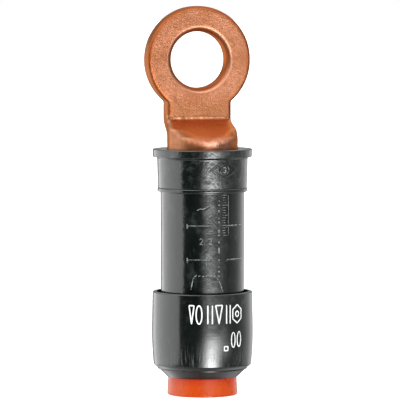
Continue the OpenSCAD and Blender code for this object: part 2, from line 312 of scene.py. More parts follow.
# Painted light on the lit flanks: the fold's left side, its upper right strip and the rim's sides
lit_flank = np.where(fold, 0.45 * band(-across, 3.5, 3.5) + 0.55 * lit_right_strip, 0)
lit_flank = np.where(rim & (np.abs(normal_y) < 0.45), 0.3, lit_flank)
soft_marks = soften(np.stack([pressed, painted_shade, np.maximum(wear_and_painted_light, lit_flank)], axis=1), ends, 4)
point_attribute(copper.data, "pressed", soft_marks[:, 0])
point_attribute(copper.data, "painted_shade", soft_marks[:, 1])
point_attribute(copper.data, "wear_and_painted_light", np.maximum(wear_and_painted_light, soft_marks[:, 2]))
# Painted highlight with the burnish, at the foot of the shoulder's front
burnish_and_highlight = np.exp(-((above_shank - 0.6 * MM) / (1.2 * MM)) ** 2) * (normal_y < -0.15)
burnish_and_highlight *= np.exp(-((across - 1.8) / 3.6) ** 2)
point_attribute(copper.data, "burnish_and_highlight", burnish_and_highlight)
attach(copper, "root")
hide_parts("copper_palm")


# ---- Aluminium barrel --------------------------------------------------------
# Turned from bar with a blind bore for the cable, friction welded to the copper
# shank. It is hidden inside the sleeve and keeps its turning marks.

def turned_aluminium():
    made, tree, shader = new_material("turned_aluminium")
    place = object_place(tree, (0.1, 0.1, 1))
    rings = speckle(tree, place, 5200.0, 2.0)
    cloud = speckle(tree, object_place(tree), 240.0)
    tone = blend_colour(tree, ramp(tree, cloud, 0.3, 0.7), (0.66, 0.67, 0.69, 1), (0.80, 0.81, 0.82, 1))
    tree.links.new(tone, shader.inputs["Base Color"])
    shader.inputs["Metallic"].default_value = 1.0
    tree.links.new(ramp(tree, rings, 0.3, 0.7, 0.26, 0.42), shader.inputs["Roughness"])
    add_bump(tree, shader, rings, 0.00002, 0.6)
    return made


barrel = frame["nodes"]["aluminium_barrel"]
barrel.data.materials.clear()
barrel.data.materials.append(turned_aluminium())


# ---- Insulating sleeve -------------------------------------------------------
# Injection moulded black nylon over barrel and shank. The collar with its flange
# closes round the copper shank; the long tube takes the crimps. Ridges show where
# the die goes, and the mould's parting line runs down the front and the back.

def start_tree(name, sizes):
    """A geometry tree with named inputs; gives the tree and its first node."""
    tree = bpy.data.node_groups.new(name, "GeometryNodeTree")
    tree.interface.new_socket(name="Geometry", in_out="INPUT", socket_type="NodeSocketGeometry")
    for label, kind in sizes.items():
        tree.interface.new_socket(name=label, in_out="INPUT", socket_type="NodeSocket" + kind)
    tree.interface.new_socket(name="Geometry", in_out="OUTPUT", socket_type="NodeSocketGeometry")
    return tree, tree.nodes.new("NodeGroupInput")


def end_tree(tree, geometry, material):
    """Instances made real and the material set, as the last two steps."""
    real = add_node(tree, "GeometryNodeRealizeInstances", None, {"Geometry": geometry})
    finish = add_node(tree, "GeometryNodeSetMaterial", None,
                      {"Geometry": real.outputs["Geometry"], "Material": material})
    tree.links.new(finish.outputs["Geometry"], tree.nodes.new("NodeGroupOutput").inputs[0])


def run_tree(made, tree, values):
    """The tree's result, with these sizes, as the object's plain mesh."""
    modifier = made.modifiers.new(tree.name, "NODES")
    modifier.node_group = tree
    for item in tree.interface.items_tree:
        if item.in_out == "INPUT" and item.name in values:
            modifier[item.identifier] = values[item.name]
    return plain_copy(made)


def turned_tree(material):
    """Revolves the object's own outline round Z."""
    tree, start = start_tree("turned_" + material.name, {"Segments": "Int"})
    rows = add_node(tree, "GeometryNodeAttributeDomainSize", {"component": "MESH"},
                    {"Geometry": start.outputs["Geometry"]}).outputs["Point Count"]
    columns = sum_of(tree, "ADD", start.outputs["Segments"], 1.0)
    grid = add_node(tree, "GeometryNodeMeshGrid", None, {"Vertices X": columns, "Vertices Y": rows})
    index = add_node(tree, "GeometryNodeInputIndex").outputs["Index"]
    row = sum_of(tree, "MODULO", index, rows)
    column = sum_of(tree, "FLOOR", sum_of(tree, "DIVIDE", index, rows))
    share = sum_of(tree, "DIVIDE", column, start.outputs["Segments"])
    turn = sum_of(tree, "MULTIPLY", share, math.tau)
    where = add_node(tree, "GeometryNodeInputPosition").outputs["Position"]
    outline = add_node(tree, "GeometryNodeSampleIndex", {"data_type": "FLOAT_VECTOR"},
                       {"Geometry": start.outputs["Geometry"], "Value": where, "Index": row})
    placed = add_node(tree, "ShaderNodeVectorRotate", {"rotation_type": "Z_AXIS"},
                      {"Vector": outline.outputs["Value"], "Angle": turn})
    moved = add_node(tree, "GeometryNodeSetPosition", None,
                     {"Geometry": grid.outputs["Mesh"], "Position": placed.outputs["Vector"]})
    closed = add_node(tree, "GeometryNodeMergeByDistance", None,
                      {"Geometry": moved.outputs["Geometry"], "Distance": 1e-6})
    end_tree(tree, closed.outputs["Geometry"], material)
    return tree


def turned_piece(name, outline, material, segments=192):
    """A piece turned from its outline, a list of (radius, height) in millimetres. Rings
    close to both ends of every long wall keep its shading straight."""
    rings = [outline[0]]
    ring_gap = 0.06
    for (r, z), (next_r, next_z) in zip(outline, outline[1:]):
        length = math.hypot(next_r - r, next_z - z)
        if length > 0.5:
            shares = (ring_gap / length, 1 - ring_gap / length)
            rings += [(r + (next_r - r) * share, z + (next_z - z) * share) for share in shares]
        rings.append((next_r, next_z))
    mesh = bpy.data.meshes.new(name)
    links = [(i, i + 1) for i in range(len(rings) - 1)]
    mesh.from_pydata([(r * MM, 0, z * MM) for r, z in rings], links, [])
    made = run_tree(mesh_object(name, mesh, material), turned_tree(material), {"Segments": segments})
    tidy_mesh(made.data)
    made.data.shade_smooth()
    made.data.set_sharp_from_angle(angle=math.radians(32))
    return made


def fillet(r, z, radius, first, last, steps=6):
    """Points on an arc round (r, z), from one angle to another in degrees."""
    angles = [math.radians(first + (last - first) * i / steps) for i in range(steps + 1)]
    return [(r + radius * math.cos(a), z + radius * math.sin(a)) for a in angles]


def sleeve_plastic():
    made, tree, shader = new_material("moulded_black_nylon")
    place = object_place(tree)
    cloud = speckle(tree, place, 130.0, 3.0)
    fine = speckle(tree, place, 1900.0, 3.0, 0.6)
    flow = speckle(tree, object_place(tree, (1, 1, 0.6)), 420.0, 4.0, 0.65)
    tone = blend_colour(tree, ramp(tree, cloud, 0.35, 0.65),
                        (0.0018, 0.0032, 0.0030, 1), (0.0045, 0.0066, 0.0061, 1))
    bloom = blend_colour(tree, ramp(tree, flow, 0.56, 0.74, 0.0, 0.6), tone, (0.028, 0.037, 0.035, 1))
    on_collar = ramp(tree, z_part(tree, place), (step_z + 0.8) * MM, (step_z + 2.0) * MM)
    mottle = ramp(tree, speckle(tree, place, 640.0, 4.0, 0.7), 0.50, 0.66, 0.0, 0.38)
    haze = sum_of(tree, "MULTIPLY", on_collar, mottle)
    tree.links.new(blend_colour(tree, haze, bloom, (0.048, 0.062, 0.058, 1)), shader.inputs["Base Color"])
    tree.links.new(ramp(tree, flow, 0.4, 0.7, 0.10, 0.22), shader.inputs["Roughness"])
    shader.inputs["Specular IOR Level"].default_value = 1.0
    uneven = ramp(tree, on_collar, 0.0, 1.0, 5.0, 9.0)
    height = sum_of(tree, "ADD", fine, sum_of(tree, "MULTIPLY", flow, uneven))
    add_bump(tree, shader, height, 0.00002, 0.5)
    return made


# Black nylon with lighter patches, painted glints for the raised marks, crests and beads
def painted_glint_plastic():
    made, tree, shader = new_material("painted_glint_nylon")
    patchy = speckle(tree, object_place(tree), 1600.0, 3.0, 0.6)
    tone = blend_colour(tree, ramp(tree, patchy, 0.36, 0.60),
                        (0.022, 0.027, 0.026, 1), (0.25, 0.28, 0.27, 1))
    tree.links.new(tone, shader.inputs["Base Color"])
    tree.links.new(ramp(tree, patchy, 0.3, 0.7, 0.22, 0.40), shader.inputs["Roughness"])
    add_bump(tree, shader, patchy, 0.00002, 0.5)
    return made


sleeve_low, sleeve_high = (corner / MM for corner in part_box("insulating_sleeve"))
open_end = sleeve_low.z
tube_r = 10.0
tube_top_r = 10.1
bore_r = 8.05
shank_bore_r = 8.6
snap_z = open_end + 2.4
snap_bead_r = 0.45
snap_bead_half = 0.35
step_z = sleeve_high.z - 10.3
weld_z = step_z + 1.5
bead_r = 10.83
collar_foot_r = 10.7
collar_r = 10.9
collar_fillet_r = 0.5
flange_r = sleeve_high.x
flange_top = sleeve_high.z
flange_under = flange_top - 2.0
flange_edge_r = 0.3
nylon = sleeve_plastic()
glint_nylon = painted_glint_plastic()
sleeve_outline = (
    [(bore_r, weld_z), (bore_r, open_end + 0.2), (bore_r + 0.2, open_end)]
    + fillet(tube_r - 0.2, open_end + 0.2, 0.2, -90, 0)
    + [(tube_r, snap_z - 0.8)]
    + fillet(tube_r, snap_z - snap_bead_half, snap_bead_r, -90, 0)
    + fillet(tube_r, snap_z + snap_bead_half, snap_bead_r, 0, 90)
    + [(tube_r + 0.005, snap_z + 1.5), (tube_top_r - 0.05, (step_z + snap_z) / 2), (tube_top_r, step_z - 0.12)]
    + fillet(tube_top_r + 0.12, step_z - 0.12, 0.12, 180, 90, 3)
    + fillet(bead_r - 0.25, step_z + 0.25, 0.25, -90, 0)
    + fillet(bead_r - 0.3, step_z + 0.7, 0.3, 0, 65)
    + [(collar_foot_r + 0.02, step_z + 1.05), (collar_r, flange_under - collar_fillet_r)]
    + fillet(collar_r + collar_fillet_r, flange_under - collar_fillet_r, collar_fillet_r, 180, 90)
    + fillet(flange_r - flange_edge_r - 0.05, flange_under + flange_edge_r, flange_edge_r, -90, 0)
    + fillet(flange_r - flange_edge_r, flange_top - flange_edge_r, flange_edge_r, 0, 90)
    + [(shank_bore_r + 0.25, flange_top), (shank_bore_r, flange_top - 0.25)]
    + [(shank_bore_r, weld_z), (bore_r, weld_z)])
sleeve = turned_piece("insulating_tube", sleeve_outline, nylon)
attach(sleeve, "root")
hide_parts("insulating_sleeve")


def crimp_ridge(name, height, arc_degrees, width, out, radius):
    """One ridge with a rounded back, centred on the X axis."""
    steps = 18
    across = [(-0.5, -0.3), (-0.5, 0.55), (-0.28, 1.0), (0.28, 1.0), (0.5, 0.55), (0.5, -0.3)]
    corners = []
    for i in range(steps + 1):
        turn = math.radians(arc_degrees * (i / steps - 0.5))
        fade = 0.35 if i in (0, steps) else 1.0
        for z, r in across:
            reach = (radius + out * (r * fade if r > 0 else r)) * MM
            corners.append((reach * math.cos(turn), reach * math.sin(turn), (height + width * z) * MM))
    n = len(across)
    faces = [(i * n + k, i * n + (k + 1) % n, (i + 1) * n + (k + 1) % n, (i + 1) * n + k)
             for i in range(steps) for k in range(n)]
    faces += [tuple(range(n)), tuple(steps * n + k for k in reversed(range(n)))]
    mesh = bpy.data.meshes.new(name)
    mesh.from_pydata(corners, [], faces)
    return mesh


def crimp_tree(material):
    """Repeats the object's ridge in rows down the tube, each side of both parting lines."""
    tree, start = start_tree("crimp_rows", {"Rows": "Int", "Pitch": "Float",
                                            "Parting": "Float", "Offset": "Float"})
    count = sum_of(tree, "MULTIPLY", start.outputs["Rows"], 4.0)
    line = add_node(tree, "GeometryNodeMeshLine", {"mode": "OFFSET"}, {"Count": count, "Offset": (0, 0, 0)})
    index = add_node(tree, "GeometryNodeInputIndex").outputs["Index"]
    row = sum_of(tree, "FLOOR", sum_of(tree, "DIVIDE", index, 4.0))
    quarter = sum_of(tree, "MODULO", index, 4.0)
    half = sum_of(tree, "FLOOR", sum_of(tree, "DIVIDE", quarter, 2.0))
    odd = sum_of(tree, "MODULO", quarter, 2.0)
    side = sum_of(tree, "SUBTRACT", sum_of(tree, "MULTIPLY", odd, 2.0), 1.0)
    drop = sum_of(tree, "MULTIPLY", sum_of(tree, "MULTIPLY", row, start.outputs["Pitch"]), -1.0)
    place = add_node(tree, "ShaderNodeCombineXYZ", None, {"Z": drop})
    moved = add_node(tree, "GeometryNodeSetPosition", None,
                     {"Geometry": line.outputs["Mesh"], "Position": place.outputs["Vector"]})
    angle = sum_of(tree, "ADD", start.outputs["Parting"], sum_of(tree, "MULTIPLY", half, math.pi))
    angle = sum_of(tree, "ADD", angle, sum_of(tree, "MULTIPLY", side, start.outputs["Offset"]))
    turn = add_node(tree, "ShaderNodeCombineXYZ", None, {"Z": angle})
    ridges = add_node(tree, "GeometryNodeInstanceOnPoints", None,
                      {"Points": moved.outputs["Geometry"], "Instance": start.outputs["Geometry"],
                       "Rotation": turn.outputs["Vector"]})
    end_tree(tree, ridges.outputs["Instances"], material)
    return tree


def bead_tree(material):
    """Strings the object's bead along both parting lines, uneven in size and spacing."""
    tree, start = start_tree("flash_beads", {"Count": "Int", "Pitch": "Float", "Radius": "Float",
                                             "Bottom": "Float", "Parting": "Float", "Seed": "Int"})
    both = sum_of(tree, "MULTIPLY", start.outputs["Count"], 2.0)
    line = add_node(tree, "GeometryNodeMeshLine", {"mode": "OFFSET"}, {"Count": both, "Offset": (0, 0, 0)})
    index = add_node(tree, "GeometryNodeInputIndex").outputs["Index"]
    half = sum_of(tree, "FLOOR", sum_of(tree, "DIVIDE", index, start.outputs["Count"]))
    step = sum_of(tree, "MODULO", index, start.outputs["Count"])
    jitter = add_node(tree, "FunctionNodeRandomValue", {"data_type": "FLOAT"},
                      {2: -0.3, 3: 0.3, "Seed": start.outputs["Seed"]}).outputs[1]
    height = sum_of(tree, "MULTIPLY", sum_of(tree, "ADD", step, jitter), start.outputs["Pitch"])
    height = sum_of(tree, "ADD", height, start.outputs["Bottom"])
    angle = sum_of(tree, "ADD", start.outputs["Parting"], sum_of(tree, "MULTIPLY", half, math.pi))
    out = add_node(tree, "ShaderNodeCombineXYZ", None, {"X": start.outputs["Radius"], "Z": height})
    place = add_node(tree, "ShaderNodeVectorRotate", {"rotation_type": "Z_AXIS"},
                     {"Vector": out.outputs["Vector"], "Angle": angle})
    moved = add_node(tree, "GeometryNodeSetPosition", None,
                     {"Geometry": line.outputs["Mesh"], "Position": place.outputs["Vector"]})
    size = add_node(tree, "FunctionNodeRandomValue", {"data_type": "FLOAT_VECTOR"},
                    {0: (0.7, 0.6, 0.6), 1: (1.0, 1.1, 1.9), "Seed": start.outputs["Seed"]}).outputs[0]
    turn = add_node(tree, "ShaderNodeCombineXYZ", None, {"Z": angle})
    beads = add_node(tree, "GeometryNodeInstanceOnPoints", None,
                     {"Points": moved.outputs["Geometry"], "Instance": start.outputs["Geometry"],
                      "Rotation": turn.outputs["Vector"], "Scale": size})
    end_tree(tree, beads.outputs["Instances"], material)
    return tree


def raised_tree(name, material):
    """Lays the object's flat lines on a cylinder and gives them a low rounded section."""
    tree, start = start_tree(name, {"Radius": "Float", "Direction": "Float",
                                    "Width": "Float", "Height": "Float"})
    lines = add_node(tree, "GeometryNodeMeshToCurve", None, {"Mesh": start.outputs["Geometry"]})
    fine = add_node(tree, "GeometryNodeResampleCurve", None, {"Curve": lines.outputs["Curve"]})
    if "Mode" in fine.inputs:
        fine.inputs["Mode"].default_value = "Length"
    else:
        fine.mode = "LENGTH"
    fine.inputs["Length"].default_value = 0.22 * MM
    flat = add_node(tree, "ShaderNodeSeparateXYZ", None,
                    {"Vector": add_node(tree, "GeometryNodeInputPosition").outputs["Position"]})
    arc = sum_of(tree, "DIVIDE", flat.outputs["X"], start.outputs["Radius"])
    angle = sum_of(tree, "ADD", start.outputs["Direction"], arc)
    outward = add_node(tree, "ShaderNodeVectorRotate", {"rotation_type": "Z_AXIS"},
                       {"Vector": (1, 0, 0), "Angle": angle}).outputs["Vector"]
    reach = add_node(tree, "ShaderNodeVectorMath", {"operation": "SCALE"},
                     {0: outward, "Scale": start.outputs["Radius"]}).outputs["Vector"]
    lift = add_node(tree, "ShaderNodeCombineXYZ", None, {"Z": flat.outputs["Y"]}).outputs["Vector"]
    place = add_node(tree, "ShaderNodeVectorMath", {"operation": "ADD"},
                     {0: reach, 1: lift}).outputs["Vector"]
    upright = add_node(tree, "GeometryNodeSetCurveNormal", None, {"Curve": fine.outputs["Curve"]})
    if "Mode" in upright.inputs:
        upright.inputs["Mode"].default_value = "Free"
    else:
        upright.mode = "FREE"
    feed(tree, upright.inputs["Normal"], outward)
    wrapped = add_node(tree, "GeometryNodeSetPosition", None,
                       {"Geometry": upright.outputs["Curve"], "Position": place})
    section = add_node(tree, "GeometryNodeCurvePrimitiveCircle", {"mode": "RADIUS"},
                       {"Resolution": 8, "Radius": 1.0})
    half_width = sum_of(tree, "MULTIPLY", start.outputs["Width"], 0.5)
    size = add_node(tree, "ShaderNodeCombineXYZ", None,
                    {"X": start.outputs["Height"], "Y": half_width, "Z": 1.0})
    low = add_node(tree, "GeometryNodeTransform", None,
                   {"Geometry": section.outputs["Curve"], "Scale": size.outputs["Vector"]})
    swept = add_node(tree, "GeometryNodeCurveToMesh", None,
                     {"Curve": wrapped.outputs["Geometry"], "Profile Curve": low.outputs["Geometry"],
                      "Fill Caps": True})
    end_tree(tree, swept.outputs["Mesh"], material)
    return tree


def raised_lines(name, strokes, material, radius, direction, width, height):
    """Lines drawn flat, in millimetres round and up, laid on the surface as low beads."""
    corners = []
    edges = []
    for stroke in strokes:
        edges += [(len(corners) + i, len(corners) + i + 1) for i in range(len(stroke) - 1)]
        corners += [(x * MM, z * MM, 0) for x, z in stroke]
    mesh = bpy.data.meshes.new(name)
    mesh.from_pydata(corners, edges, [])
    made = run_tree(mesh_object(name, mesh, material), raised_tree(name, material),
                    {"Radius": radius * MM, "Direction": math.radians(direction),
                     "Width": width * MM, "Height": height * MM})
    tidy_mesh(made.data)
    made.data.shade_smooth()
    return made


def ring_stroke(x, z, across, up, first=0, last=360, steps=20):
    """A stroke along an ellipse, between two angles in degrees."""
    turns = [math.radians(first + (last - first) * i / steps) for i in range(steps + 1)]
    return [(x + across / 2 * math.cos(a), z + up / 2 * math.sin(a)) for a in turns]


def numeral(digit, x, z, size):
    """The strokes of a plain moulded 2 or 3."""
    w = size * 0.55
    if digit == 2:
        return [ring_stroke(x, z + size * 0.72, w, size * 0.56, 160, -40, 10)
                + [(x - w / 2, z), (x + w / 2, z)]]
    return [ring_stroke(x, z + size * 0.75, w, size * 0.5, 150, -80, 8)
            + ring_stroke(x, z + size * 0.27, w, size * 0.54, 80, -150, 9)]


# Crimp ridges with painted glints on their crests: two rows, each side of both parting lines
parting = -83.0
crimp_rows = 2
crimp_top = step_z - 7.8
crimp_pitch = 8.1
crimp_out = 0.18
crimp_r = 10.06
crimp_centre = 27.0
crest_r = 10.2
ridge_mesh = crimp_ridge("crimp_ridges", crimp_top, 32.0, 0.5, crimp_out, crimp_r)
ridges = mesh_object("crimp_ridges", ridge_mesh, nylon)
run_tree(ridges, crimp_tree(nylon),
         {"Rows": crimp_rows, "Pitch": crimp_pitch * MM, "Parting": math.radians(parting),
          "Offset": math.radians(crimp_centre)})
tidy_mesh(ridges.data)
crests = []
for row in range(crimp_rows):
    z = crimp_top - row * crimp_pitch + 0.12
    for middle in (-crimp_centre, crimp_centre, 180 - crimp_centre, 180 + crimp_centre):
        crests.append([(math.radians(middle + turn) * crest_r, z) for turn in (-15, 15)])
crest = raised_lines("crimp_crests", crests, glint_nylon, crest_r, parting, 0.20, 0.07)

# Beads in painted glint colour and a thin line of flash where the mould's halves meet
bead_shell = bmesh.new()
bmesh.ops.create_icosphere(bead_shell, subdivisions=2, radius=0.27 * MM)
bead_mesh = bpy.data.meshes.new("flash_beads")
bead_shell.to_mesh(bead_mesh)
bead_shell.free()
beads = mesh_object("flash_beads", bead_mesh, glint_nylon)
run_tree(beads, bead_tree(glint_nylon),
         {"Count": 14, "Pitch": 1.42 * MM, "Radius": 10.02 * MM, "Bottom": 28.9 * MM,
          "Parting": math.radians(parting), "Seed": 7})
beads.data.shade_smooth()
flash_r = 10.05
flash_line = [[(x, 24.0), (x, step_z - 0.1)] for x in (0, math.pi * flash_r)]
flash = raised_lines("parting_line", flash_line, nylon, flash_r, parting, 0.16, 0.07)

# Raised marks round the parting line, as (round the tube, height) in millimetres: a short
# upright at each crimp, a wavy flow mark, a row of dashes with two legs, and a dash
tube_mark_r = 10.04
left_end = -7.75
tube_strokes = []
for row in range(crimp_rows):
    z = crimp_top - row * crimp_pitch
    tube_strokes.append([(left_end, z - 0.55), (left_end, z + 0.6)])
    tube_strokes.append([(left_end, z), (left_end + 0.85, z + 0.1)])
tube_strokes.append([(-5.3, 44.9), (-4.6, 45.3), (-3.9, 45.2), (-3.2, 45.5), (-2.6, 45.9), (-2.0, 46.0)])
for i in range(7):
    dash_x = -5.9 + 0.9 * i
    tube_strokes.append([(dash_x, 29.1 + 0.12 * (i % 2)), (dash_x + 0.5, 29.5 - 0.12 * (i % 3))])
tube_strokes.append([(-6.8, 26.0), (-6.5, 27.5), (-6.15, 28.9)])
tube_strokes.append([(-0.6, 29.1), (0.2, 27.7), (1.1, 25.4)])
tube_strokes.append([(-3.0, 31.4), (-3.05, 34.6)])
# Marks and numbers drawn in painted glint colour
tube_marks = raised_lines("tube_marks", tube_strokes, glint_nylon, tube_mark_r, parting, 0.24, 0.13)
tube_digits = numeral(2, -4.3, 36.8, 1.4) + numeral(3, -2.2, 36.8, 1.4)
numbers = raised_lines("tube_numbers", tube_digits, glint_nylon, tube_mark_r, parting, 0.18, 0.07)

# A scale of plain ticks, every fourth one long, and the parting lines of the collar
scale_foot = 38.9
scale = [[(2.6, scale_foot), (2.6, scale_foot + 9.6)]]
for i in range(17):
    tick = 1.4 if i % 4 == 0 else 0.8
    scale.append([(0.95, scale_foot + 0.6 * i), (0.95 + tick, scale_foot + 0.6 * i)])
# The scale and the collar's parting lines in painted glint colour
ticks = raised_lines("tube_scale", scale, glint_nylon, tube_mark_r, parting, 0.15, 0.08)
collar_back = math.pi * 10.8
collar_lines = [[(0, step_z + 1.1), (0, step_z + 4.2)],
                [(collar_back, step_z + 1.1), (collar_back, step_z + 7.4)]]
collar_flash = raised_lines("collar_parting_line", collar_lines, glint_nylon, 10.78, parting, 0.18, 0.10)

# The mould cavity's number in an eye-shaped border on the collar
eye_z = 54.5
eye_turns = [math.radians(a) for a in range(0, 361, 12)]
eye = [(3.6 * math.cos(a), eye_z + 1.75 * math.sin(a) ** 3) for a in eye_turns]
border = [eye, ring_stroke(0, eye_z, 2.3, 2.5, 0, 360, 24)]
medallion = raised_lines("cavity_border", border, nylon, 10.84, parting + 6, 0.52, 0.26)
cavity_digit = numeral(3, 0, eye_z - 0.65, 1.3)
# The cavity number in painted glint colour
cavity = raised_lines("cavity_number", cavity_digit, glint_nylon, 10.86, parting + 6, 0.30, 0.14)
for piece in (ridges, crest, beads, flash, tube_marks, numbers, ticks, collar_flash, medallion, cavity):
    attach(piece, "root")
    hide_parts("insulating_sleeve")


# ---- End cap -----------------------------------------------------------------
# Separate moulding that clips over the tube and carries the print. It is a shade
# glossier than the sleeve and scuffed near its lower edge by handling.

def cap_plastic():
    made, tree, shader = new_material("scuffed_black_cap")
    place = object_place(tree)
    cloud = speckle(tree, place, 120.0, 3.0)
    flow = speckle(tree, place, 380.0, 4.0, 0.65)
    scuffs = speckle(tree, object_place(tree, (1, 1, 0.05)), 2700.0, 2.0)
    height = z_part(tree, place)
    low = sum_of(tree, "MULTIPLY", ramp(tree, height, 6.8 * MM, 8.5 * MM),
                 ramp(tree, height, 9.5 * MM, 13.5 * MM, 1.0, 0.0))
    scraped = sum_of(tree, "MULTIPLY", low, ramp(tree, scuffs, 0.52, 0.72))
    tone = blend_colour(tree, ramp(tree, cloud, 0.35, 0.65),
                        (0.0018, 0.0032, 0.0029, 1), (0.0042, 0.0060, 0.0055, 1))
    bloom = blend_colour(tree, ramp(tree, flow, 0.56, 0.74, 0.0, 0.5), tone, (0.032, 0.041, 0.037, 1))
    rubbed_tone = blend_colour(tree, scraped, bloom, (0.054, 0.061, 0.059, 1))
    tree.links.new(rubbed_tone, shader.inputs["Base Color"])
    shader.inputs["Specular IOR Level"].default_value = 1.0
    gloss = ramp(tree, flow, 0.4, 0.7, 0.13, 0.22)
    dulled = sum_of(tree, "ADD", gloss, sum_of(tree, "MULTIPLY", scraped, 0.2))
    tree.links.new(dulled, shader.inputs["Roughness"])
    relief = sum_of(tree, "SUBTRACT", sum_of(tree, "MULTIPLY", flow, 4.0), scraped)
    add_bump(tree, shader, relief, 0.000012, 0.5)
    return made


cap_black = cap_plastic()
cap_low, cap_high = (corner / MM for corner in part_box("end_cap"))
cap_r = cap_high.x - 0.03
cap_z = cap_low.z
cap_top = cap_high.z
cone_top = cap_z + 3.3
cone_r = cap_r - 3.6
edge_r = cap_r - 0.4
rim_r = cap_r - 0.15
rim_edge_r = 0.3
mouth_r = rim_r - 0.9
entry_r = 5.3
bore_wall_r = 10.1
groove_r = 10.55
web_top = cap_z + 1.6
draw_top = cone_top + 7.8
draw_arc_r = 80.0
wall_turn = 5.7
corner_r = 0.7
cone_turn = math.degrees(math.atan2(edge_r - cone_r, cone_top - cap_z))
line_share = 0.62
line_at = (cone_r + line_share * (edge_r - cone_r), cap_z + line_share * (cone_top - cap_z))
wall_lean = (math.cos(math.radians(wall_turn)), math.sin(math.radians(wall_turn)))
wall_foot = (cap_r - draw_arc_r + draw_arc_r * wall_lean[0], draw_top - draw_arc_r * wall_lean[1])
corner_x = wall_foot[0] - corner_r * wall_lean[0]
corner_z = wall_foot[1] + corner_r * wall_lean[1] + 0.1
cap_outline = (
    [(entry_r, cap_z), (cone_r - 0.1, cap_z), (cone_r, cap_z + 0.06)]
    + fillet(line_at[0], line_at[1], 0.22, -cone_turn - 75, -cone_turn + 75)
    + fillet(corner_x, corner_z, corner_r, -90 + cone_turn, -wall_turn, 8)
    + fillet(cap_r - draw_arc_r, draw_top, draw_arc_r, -wall_turn + 0.5, 1.2, 12)
    + [(rim_r, cap_top - rim_edge_r)]
    + fillet(rim_r - rim_edge_r, cap_top - rim_edge_r, rim_edge_r, 0, 90)
    + [(mouth_r + 0.05, cap_top), (mouth_r, cap_top - 0.08), (mouth_r, cap_top - 5), (bore_wall_r, cap_top - 5)]
    + [(bore_wall_r, snap_z + 0.9), (groove_r, snap_z + 0.9), (groove_r, snap_z - 0.9)]
    + [(bore_wall_r, snap_z - 0.9), (bore_wall_r, web_top), (entry_r, web_top), (entry_r, cap_z)])
cap = turned_piece("clip_cap", cap_outline, cap_black)
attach(cap, "root")
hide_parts("end_cap")


def print_ink():
    made, tree, shader = new_material("white_print")
    patchy = speckle(tree, object_place(tree), 2400.0, 2.0)
    tone = blend_colour(tree, ramp(tree, patchy, 0.35, 0.6),
                        (0.78, 0.80, 0.80, 1), (0.92, 0.93, 0.93, 1))
    tree.links.new(tone, shader.inputs["Base Color"])
    tree.links.new(ramp(tree, patchy, 0.3, 0.7, 0.35, 0.55), shader.inputs["Roughness"])
    return made


# Plain signs, none of them a letter: the cable end, the way in, a screen, a hexagonal
# die round a conductor and an earth sign; below them two rings and a square
ink = print_ink()
row_z = cap_top - 4.75
sign_half = 2.2
low_row_z = cap_top - 10.9
die_x = 7.4
square_x = 4.2
square_z = low_row_z - 2.0
square_half = 0.48


def upright(x):
    """A straight sign as tall as its row."""
    return [(x, row_z - sign_half), (x, row_z + sign_half)]


def wedge(left, right):
    """A triangle that stands on its point."""
    top = row_z + sign_half
    return [(left, top), (right, top), ((left + right) / 2, row_z - sign_half), (left, top)]


sixths = [math.radians(60 * i) for i in range(7)]
hexagon = [(die_x + 1.55 * math.sin(a), row_z + sign_half * math.cos(a)) for a in sixths]
square_turns = ((-1, -1), (1, -1), (1, 1), (-1, 1), (-1, -1))
square = [(square_x + x * square_half, square_z + z * square_half) for x, z in square_turns]
signs = [wedge(-4.9, -3.7), ring_stroke(-2.5, row_z, 1.4, 2 * sign_half), upright(-0.4), upright(0.7),
         wedge(1.5, 3.2), upright(4.3), upright(5.3), hexagon, ring_stroke(die_x, row_z, 1.0, 1.3, 0, 360, 14),
         ring_stroke(6.2, low_row_z, 1.1, 3.6), ring_stroke(8.0, low_row_z + 0.1, 1.2, 3.6), square]
printed = raised_lines("cap_signs", signs, ink, cap_r - 0.04, -98.0, 0.32, 0.06)
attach(printed, "root")


# ---- Sealing ring ------------------------------------------------------------
# Soft rubber ring with two lips and a groove between them, moulded in one piece and
# laid in the cap round the plug's spigot. It closes on the cable once the plug is out.

def seal_rubber():
    made, tree, shader = new_material("grey_seal_rubber")
    cloud = speckle(tree, object_place(tree), 700.0)
    tone = blend_colour(tree, cloud, (0.045, 0.045, 0.048, 1), (0.065, 0.065, 0.07, 1))
    tree.links.new(tone, shader.inputs["Base Color"])
    tree.links.new(ramp(tree, cloud, 0.3, 0.7, 0.55, 0.75), shader.inputs["Roughness"])
    add_bump(tree, shader, cloud, 0.00003, 0.4)
    return made


seal = frame["nodes"]["sealing_ring"]
seal.data.materials.clear()
seal.data.materials.append(seal_rubber())


# ---- Entry plug --------------------------------------------------------------
# Soft translucent orange stopper pushed into the cable entry; the lug stands on
# its flat head. A mould seam runs up its side.

def plug_plastic():
    made, tree, shader = new_material("orange_stopper")
    place = object_place(tree)
    cloud = speckle(tree, place, 300.0, 2.0)
    # Painted shade: darker red towards the top, under the cap
    top = ramp(tree, z_part(tree, place), 2.4 * MM, 4.6 * MM)
    tone = blend_colour(tree, cloud, (0.485, 0.048, 0.0016, 1), (0.540, 0.073, 0.0030, 1))
    shaded = blend_colour(tree, top, tone, (0.440, 0.025, 0.0050, 1))
    tree.links.new(shaded, shader.inputs["Base Color"])
    tree.links.new(ramp(tree, cloud, 0.3, 0.7, 0.24, 0.36), shader.inputs["Roughness"])
    shader.inputs["Subsurface Weight"].default_value = 0.35
    shader.inputs["Subsurface Radius"].default_value = (1.0, 0.35, 0.1)
    shader.inputs["Subsurface Scale"].default_value = 1.5 * MM
    shader.inputs["Specular IOR Level"].default_value = 0.34
    add_bump(tree, shader, cloud, 0.00002, 0.3)
    return made


